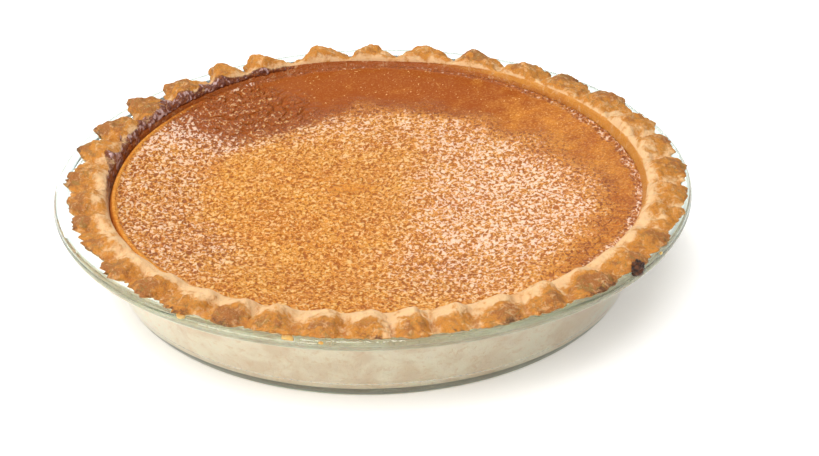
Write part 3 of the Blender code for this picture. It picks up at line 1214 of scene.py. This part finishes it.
@dataclass
class Filling:
    """Set filling: a shallow dip with a pebbled skin, in mm."""

    shape: Lean
    cells: int = 300
    dip: float = 4.2
    dip_start: float = 62.0
    edge_gap: float = 0.15
    floor: float = 8.6
    foot: float = 90.9
    lip_height: float = 0.8
    lip_drop: float = 3.2
    edge_drop: float = 0.7
    band_start: float = 72.0
    band_narrowing: float = 25.0
    crease_depth: float = 0.7
    crease_width: Point = (0.14, 0.0)
    lip_rise: Point = (4.4, 2.0)
    lip_fall: Point = (1.8, 0.0)
    edge_fall: Point = (1.6, 0.0)
    band_edge: Point = (-13.0, 13.0)
    # Edge of the painted shade on the smooth band.
    band_shade_edge: Point = (-17.0, 8.0)
    smooth_lip: Point = (4.0, 2.2)
    # Painted shade along the left crevice.
    crevice_shade: Point = (2.4, 0.8)
    rim_line: Point = (6.0, 3.0)
    coarse_from: Point = (55.0, 75.0)
    back_sheen: Point = (15.0, 60.0)
    back_sheen_share: float = 0.6
    front_sheen_share: float = 0.6
    left_sheen: float = 0.5
    line_sheen: float = 0.7
    dull_wrinkles: float = 0.65
    smooth_creases: float = 0.7
    smooth_smear: float = 0.6
    crease_turn: tuple[Point, Point] = ((0.35, 0.2), (-0.49, 0.87))
    smooth_at_right: float = 0.75
    smooth_wrinkles: float = 0.12
    pebbles_on_line: float = 0.6
    flattening: float = 0.85
    # Painted shade on the smooth band, more at the back.
    shade_on_band: float = 0.6
    shade_behind: float = 0.4
    dark_at_left: float = 0.4
    dark_wrinkles: float = 0.75
    # Painted shade in the wrinkles' creases.
    shade_in_creases: float = 0.5
    dark_redness: float = 0.3
    left: Arc = Arc(190.0, 75.0, 45.0)
    far_left: Arc = Arc(180.0, 65.0, 40.0)
    right: Arc = Arc(-10.0, 65.0, 35.0)
    back: Arc = Arc(108.0, 75.0, 35.0)
    banded: Arc = Arc(38.0, 100.0, 78.0)
    away_from_back: Arc = Arc(75.0, 35.0, 110.0)
    lined: Arc = Arc(40.0, 100.0, 80.0)
    wrinkles: Area = Area(-56.0, 66.0, 38.0, 18.0, 1.3)
    dusk: Area = Area(-56.0, 66.0, 52.0, 12.0, 1.3)
    redness: Area = Area(23.0, -70.0, 30.0, 12.0, 0.8)
    smear: Area = Area(-9.0, -1.0, 12.1, 6.6, 2.75)
    right_sheen: Area = Area(60.0, 0.0, 75.0, 10.0)
    front_sheen: Area = Area(40.0, -62.0, 62.0, 12.0)
    broad_stray: Ripple = Ripple(16.0, 6.0, 3.0)
    close_stray: Ripple = Ripple(5.0, 3.0, 7.0)
    line_stray: Ripple = Ripple(7.0, 1.5, 6.0)
    crease_stray: Ripple = Ripple(7.0, 1.5, 4.0)
    creases: Ripple = Ripple(4.5, 1.0, 2.0)
    grain: Ripple = Ripple(1.7, 0.32, 1.0)
    lumps: Ripple = Ripple(3.4, 0.18, 5.0)
    left_lumps: Ripple = Ripple(2.6, 0.4, 11.0)
    swells: Ripple = Ripple(24.0, 0.35, 8.0)
    stains: Ripple = Ripple(8.0, 0.25, 12.0)

    def disc(self, flat: np.ndarray) -> tuple[np.ndarray, np.ndarray]:
        """Square grid as a disc.

        Args:
            flat: Grid points from 0 to 1.

        Returns:
            Share of the way to the edge and angle in radians of each point.
        """
        a, b = flat[:, 0] * 2 - 1, flat[:, 1] * 2 - 1
        wide = np.abs(a) >= np.abs(b)
        share = np.where(wide, a, b)
        other = np.where(wide, b, a)
        safe = np.where(np.abs(share) < 1e-9, 1.0, share)
        eighth = math.pi / 4 * other / safe
        angle = np.where(wide, eighth, math.pi / 2 - eighth)
        return np.abs(share), np.where(share < 0, angle + math.pi, angle)

    def bowl(self, radius: np.ndarray, angle: np.ndarray, from_edge: np.ndarray) -> np.ndarray:
        """Height of the skin without its relief: the dip, the lip at the left and the drop at the edge."""
        level = self.shape.level
        rim = self.shape.wall(self.shape.pastry_inside, level.middle)
        height = level.middle - self.dip * (1 - ease(radius, self.dip_start, rim))
        height += (level.at(angle) - level.middle) * radius / rim
        lip = self.lip_height * ease(from_edge, *self.lip_rise)
        lip = lip - self.lip_drop * ease(from_edge, *self.lip_fall)
        at_left = self.left.at(angle)
        return height + at_left * lip - (1 - at_left) * self.edge_drop * ease(from_edge, *self.edge_fall)

    def build(self, finish: bpy.types.Material) -> None:
        """Shape the skin, mark it, close it underneath and dress it."""
        made = grid(self.cells, self.cells)
        share, angle = self.disc(points_of(made))
        edge = self.shape.filling_edge(angle) - self.edge_gap
        radius = share * edge
        from_edge = edge - radius
        x, y = radius * np.cos(angle), radius * np.sin(angle)
        flat = np.stack([x, y, np.zeros_like(x)], axis=1)
        stray = self.broad_stray.at(flat) + self.close_stray.at(flat)
        at_left, banded = self.left.at(angle), self.banded.at(angle)
        into_band = radius + stray - self.band_start - self.band_narrowing * self.away_from_back.at(angle)
        band = ease(into_band, *self.band_edge) * banded
        left_lip = at_left * ease(from_edge, *self.smooth_lip)
        rim_line = ease(from_edge + self.line_stray.at(flat), *self.rim_line) * self.lined.at(angle)
        wrinkled = self.wrinkles.at(x, y, stray)
        coarse_left = self.far_left.at(angle) * ease(radius, *self.coarse_from) * (1 - left_lip)
        smooth = band * (1 - wrinkled) * (1 - (1 - self.smooth_at_right) * self.right.at(angle))
        smooth += wrinkled * self.smooth_wrinkles + left_lip - rim_line * self.pebbles_on_line
        smooth = np.clip(smooth, 0, 1)
        across, along = [x * x_share + y * y_share for x_share, y_share in self.crease_turn]
        swirl = np.stack([across, along, np.zeros_like(x)], axis=1)
        swirl = swirl + self.crease_stray.at(flat)[:, None]
        creases = ease(np.abs(self.creases.at(swirl)), *self.crease_width)

        height = self.bowl(radius, angle, from_edge) + self.swells.at(flat)
        height += (1 - smooth * self.flattening) * (self.grain.at(flat) + self.lumps.at(flat))
        height += coarse_left * self.left_lumps.at(flat * (1.0, 1.25, 1.0))
        height -= wrinkled * creases * self.crease_depth
        put_points(made, np.stack([x, y, height], axis=1) * MM)

        smear = self.smear.at(x, y, stray * 0.55)
        pebble = (1 - smooth) * (1 - self.smooth_creases * wrinkled * creases)
        put_attribute(made, "pebble", pebble * (1 - smear * self.smooth_smear))
        # Where painted sheen and pink painted highlights go.
        sheen = self.right_sheen.at(x, y) + self.front_sheen.at(x, y) * self.front_sheen_share
        sheen += ease(y, *self.back_sheen) * self.back_sheen_share
        sheen += coarse_left * self.left_sheen + rim_line * (1 - at_left) * self.line_sheen
        put_attribute(made, "sheen", np.clip(sheen * (1 - self.dull_wrinkles * wrinkled), 0, 1))
        # Painted shade on the smooth band, deepest at the back.
        dark = ease(into_band, *self.band_shade_edge) * banded
        dark *= self.shade_on_band + self.shade_behind * self.back.at(angle)
        # Darker tone on the coarse left, and painted shade along the left crevice.
        dark += coarse_left * self.dark_at_left + at_left * ease(from_edge, *self.crevice_shade)
        # Darker tone in the wrinkles, with painted shade in their creases.
        dark += self.dusk.at(x, y, stray) * (self.dark_wrinkles + self.shade_in_creases * creases)
        dark += self.redness.at(x, y, stray * 1.5) * self.dark_redness
        put_attribute(made, "dark", np.clip(dark + self.stains.at(flat) * band, 0, 1))
        self.close(made)
        settle(made, "sweet_potato_filling")
        dress(made, finish, Slot.FILLING, "filling")

    def close(self, made: bpy.types.Object) -> None:
        """Extrude the skin's edge down to the floor of the pastry and fill it."""
        level = self.shape.level.middle
        narrower = self.shape.wall(self.foot, self.floor) / self.shape.wall(self.foot, level)

        def walls() -> None:
            """Turn the edge down and close the bottom."""
            bpy.ops.mesh.select_mode(type="EDGE")
            bpy.ops.mesh.region_to_loop()
            bpy.ops.mesh.extrude_edges_move()
            bpy.ops.transform.resize(value=(narrower, narrower, 1), center_override=(0, 0, 0))
            bpy.ops.transform.translate(value=(0, 0, (self.floor - level) * MM))
            bpy.ops.mesh.edge_face_add()
            bpy.ops.mesh.select_mode(type="VERT")
            bpy.ops.mesh.select_all(action="SELECT")
            bpy.ops.mesh.normals_make_consistent(inside=False)

        in_edit_mode(made, walls)


@dataclass
class Drops:
    """What ran over the crimped edge, in mm: place as radius, angle and height, and half sizes."""

    burnt: Triple = (124.6, -39.9, 41.2)
    burnt_size: Triple = (2.2, 3.0, 2.8)
    burnt_lumps: float = 3.0
    lump_size: float = 1.6
    drips: tuple[tuple[Triple, float], ...] = (
        ((124.4, -122.0, 39.6), 1.3), ((124.2, -103.0, 39.6), 1.4),
        ((124.8, -97.6, 38.8), 0.6), ((124.6, -31.8, 39.0), 0.6))
    drip_shape: Triple = (0.6, 1.5, 1.0)

    def blob(self, name: str, place: Triple, size: Triple, lumps: float) -> bpy.types.Object:
        """Lumpy drop.

        Args:
            name: The piece's name.
            place: Radius, angle in degrees and height.
            size: Half sizes outwards, along the edge and up.
            lumps: How uneven it is.

        Returns:
            The drop.
        """
        radius, angle, height = place
        turn = math.radians(angle)
        centre = Vector((radius * math.cos(turn), radius * math.sin(turn), height)) * MM
        pick_nothing()
        bpy.ops.mesh.primitive_ico_sphere_add(
            subdivisions=4, radius=MM, location=centre, rotation=(0, 0, turn), scale=size)
        made = bpy.context.object
        bpy.ops.object.transform_apply(location=True, rotation=True, scale=True)
        displace(made, "drop lumps", self.lump_size, lumps)
        apply_modifiers(made)
        settle(made, name)
        return made

    def build(self, burnt: bpy.types.Material, butter: bpy.types.Material) -> None:
        """Make the burnt drop and the butter drips."""
        dress(self.blob("burnt_drop", self.burnt, self.burnt_size, self.burnt_lumps), burnt, Slot.FILLING)
        for number, (place, size) in enumerate(self.drips, 1):
            sizes = tuple(size * part for part in self.drip_shape)
            dress(self.blob(f"butter_drip_{number}", place, sizes, size), butter, Slot.PASTRY)


@dataclass(frozen=True)
class Softbox:
    """Square light aimed at the pie: azimuth from the right through the back, in degrees and metres."""

    name: str
    azimuth: float
    elevation: float
    distance: float
    width: float
    height: float
    power: float
    colour: Colour = (1.0, 1.0, 1.0)

    def build(self) -> None:
        """Add the light."""
        turn, rise = math.radians(self.azimuth), math.radians(self.elevation)
        towards = Vector((math.cos(turn) * math.cos(rise), math.sin(turn) * math.cos(rise), math.sin(rise)))
        light = bpy.data.lights.new(self.name, "AREA")
        light.shape = "RECTANGLE"
        light.size, light.size_y = self.width, self.height
        light.energy = self.power
        light.color = self.colour
        made = bpy.data.objects.new(self.name, light)
        bpy.context.scene.collection.objects.link(made)
        made.location = towards * self.distance
        made.rotation_mode = "QUATERNION"
        made.rotation_quaternion = towards.to_track_quat("Z", "Y")
        made.visible_camera = False


@dataclass
class Studio:
    """Pale floor, soft light and the camera."""

    floor_size: float = 12.0
    floor_colour: Colour = (0.93, 0.93, 0.93)
    floor_glow: float = 0.27
    horizon: float = 0.72
    overhead: float = 0.38
    view_distance: float = 0.787
    view_elevation: float = 29.57
    view_roll: float = -0.87
    aim: Triple = (0.0141, 0.0, 0.01527)
    lens: float = 85.53
    lights: tuple[Softbox, ...] = (
        Softbox("back light", 140.0, 65.0, 1.6, 0.8, 0.6, 9.0, (1.0, 0.985, 0.96)),
        Softbox("left fill", 200.0, 30.0, 2.0, 1.0, 0.6, 3.5),
        Softbox("top strip", 265.0, 78.0, 1.6, 1.3, 0.08, 2.5),
        Softbox("gloss", 80.0, 25.0, 1.9, 0.35, 0.2, 1.6),
        Softbox("left gloss", 103.0, 26.0, 1.9, 0.3, 0.25, 0.5),
        Softbox("key", 262.0, 60.0, 2.0, 1.0, 0.8, 24.0, (1.0, 0.985, 0.96)),
        Softbox("wall fill", 232.0, 16.0, 2.0, 1.4, 0.5, 9.0),
    )

    def floor(self) -> None:
        """Level floor, matt and nearly white."""
        pick_nothing()
        bpy.ops.mesh.primitive_plane_add(size=self.floor_size, location=(0, 0, 0))
        plane = bpy.context.object
        plane.name = "studio_floor"
        made = Shading("studio_floor")
        shader = made.add("ShaderNodeBsdfPrincipled", None, {
            "Base Color": (*self.floor_colour, 1.0), "Roughness": 0.9, "Specular IOR Level": 0.1,
            "Emission Color": (1.0, 1.0, 1.0, 1.0), "Emission Strength": self.floor_glow})
        plane.data.materials.append(made.finish(shader.outputs[0]))

    def surroundings(self) -> None:
        """White surroundings, brightest at the horizon."""
        world = bpy.data.worlds.new("studio")
        bpy.context.scene.world = world
        world.use_nodes = True
        tree = world.node_tree
        tree.nodes.clear()
        place = tree.nodes.new("ShaderNodeTexCoord")
        split = tree.nodes.new("ShaderNodeSeparateXYZ")
        tree.links.new(place.outputs["Generated"], split.inputs[0])
        strength = tree.nodes.new("ShaderNodeMapRange")
        strength.interpolation_type = "SMOOTHSTEP"
        tree.links.new(split.outputs["Z"], strength.inputs["Value"])
        for name, value in (("From Min", 0.3), ("From Max", 0.6),
                            ("To Min", self.horizon), ("To Max", self.overhead)):
            strength.inputs[name].default_value = value
        back = tree.nodes.new("ShaderNodeBackground")
        tree.links.new(strength.outputs[0], back.inputs["Strength"])
        out = tree.nodes.new("ShaderNodeOutputWorld")
        tree.links.new(back.outputs[0], out.inputs["Surface"])

    def camera(self) -> None:
        """Camera at the photograph's viewing angle."""
        rise, roll = math.radians(self.view_elevation), math.radians(self.view_roll)
        place = Vector((0.0, -math.cos(rise), math.sin(rise))) * self.view_distance
        place.x = self.aim[0]
        ahead = (Vector(self.aim) - place).normalized()
        right = ahead.cross(Vector((0, 0, 1))).normalized()
        up = right.cross(ahead)
        across = right * math.cos(roll) + up * math.sin(roll)
        over = -right * math.sin(roll) + up * math.cos(roll)
        lens = bpy.data.cameras.new("camera")
        lens.lens = self.lens
        made = bpy.data.objects.new("camera", lens)
        bpy.context.scene.collection.objects.link(made)
        made.matrix_world = Matrix.Translation(place) @ Matrix((across, over, -ahead)).transposed().to_4x4()
        bpy.context.scene.camera = made

    def build(self) -> None:
        """Set everything up, with colours shown as they are."""
        bpy.context.scene.view_settings.view_transform = "Standard"
        self.camera()
        self.floor()
        self.surroundings()
        for light in self.lights:
            light.build()


def main() -> None:
    """Build the studio and the pie."""
    logging.basicConfig(level=logging.INFO, format="%(name)s: %(message)s")
    Studio().build()
    shape = Lean()
    GlassDish(shape).build(ClearGlass().build())
    PastryCase(shape).build(BakedPastry().build())
    Filling(shape).build(SetFilling().build())
    Drops().build(BurntSugar().build(), Butter().build())


if __name__ == "__main__":
    main()
